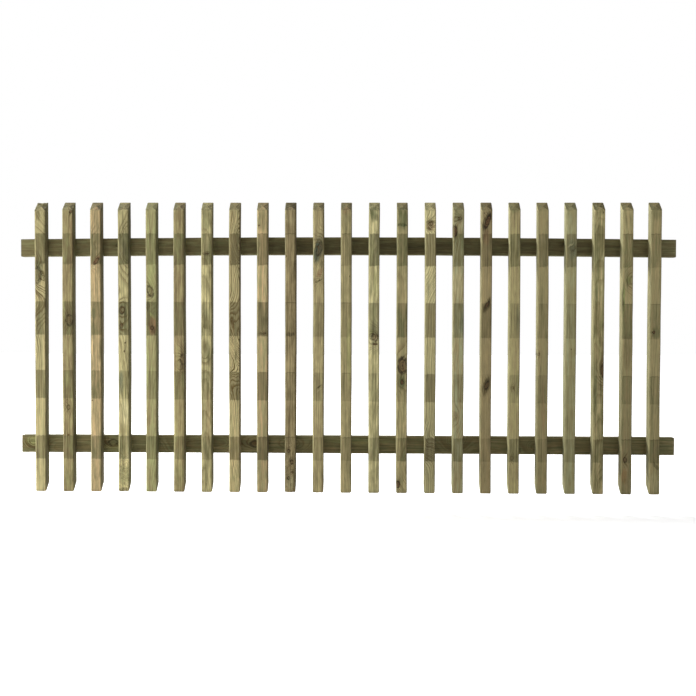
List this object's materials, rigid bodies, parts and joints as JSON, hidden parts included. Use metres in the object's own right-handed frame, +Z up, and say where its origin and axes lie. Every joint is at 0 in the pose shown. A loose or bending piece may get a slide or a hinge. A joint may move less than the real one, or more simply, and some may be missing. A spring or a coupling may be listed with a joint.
{
  "type": "wooden picket fence panel",
  "caption": "Low wooden garden fence panel: upright square palings with slant-cut ends, fixed to the front of an upper and a lower rail.",
  "frame": {"origin": "the middle of the lower rail's back face, the face that lies against the posts", "axes": "+X along the rails, to the right as seen from the front; +Y from the palings to the back; +Z up"},
  "size_m": [1.8, 0.058, 0.795],
  "materials": {
    "paling_wood": "planed softwood with a green-brown pressure treatment, unpainted, weathered in bands over the rails",
    "rail_wood": "planed softwood with a green-brown pressure treatment, unpainted, browner than the palings",
    "screw_steel": "dull zinc-plated countersunk screws"
  },
  "bodies": {
    "root": {"lower_rail": "rail_wood", "upper_rail": "rail_wood", "paling_01": "paling_wood", "paling_02": "paling_wood", "paling_03": "paling_wood", "paling_04": "paling_wood", "paling_05": "paling_wood", "paling_06": "paling_wood", "paling_07": "paling_wood", "paling_08": "paling_wood", "paling_09": "paling_wood", "paling_10": "paling_wood", "paling_11": "paling_wood", "paling_12": "paling_wood", "paling_13": "paling_wood", "paling_14": "paling_wood", "paling_15": "paling_wood", "paling_16": "paling_wood", "paling_17": "paling_wood", "paling_18": "paling_wood", "paling_19": "paling_wood", "paling_20": "paling_wood", "paling_21": "paling_wood", "paling_22": "paling_wood", "paling_23": "paling_wood"}
  },
  "joints": []
}
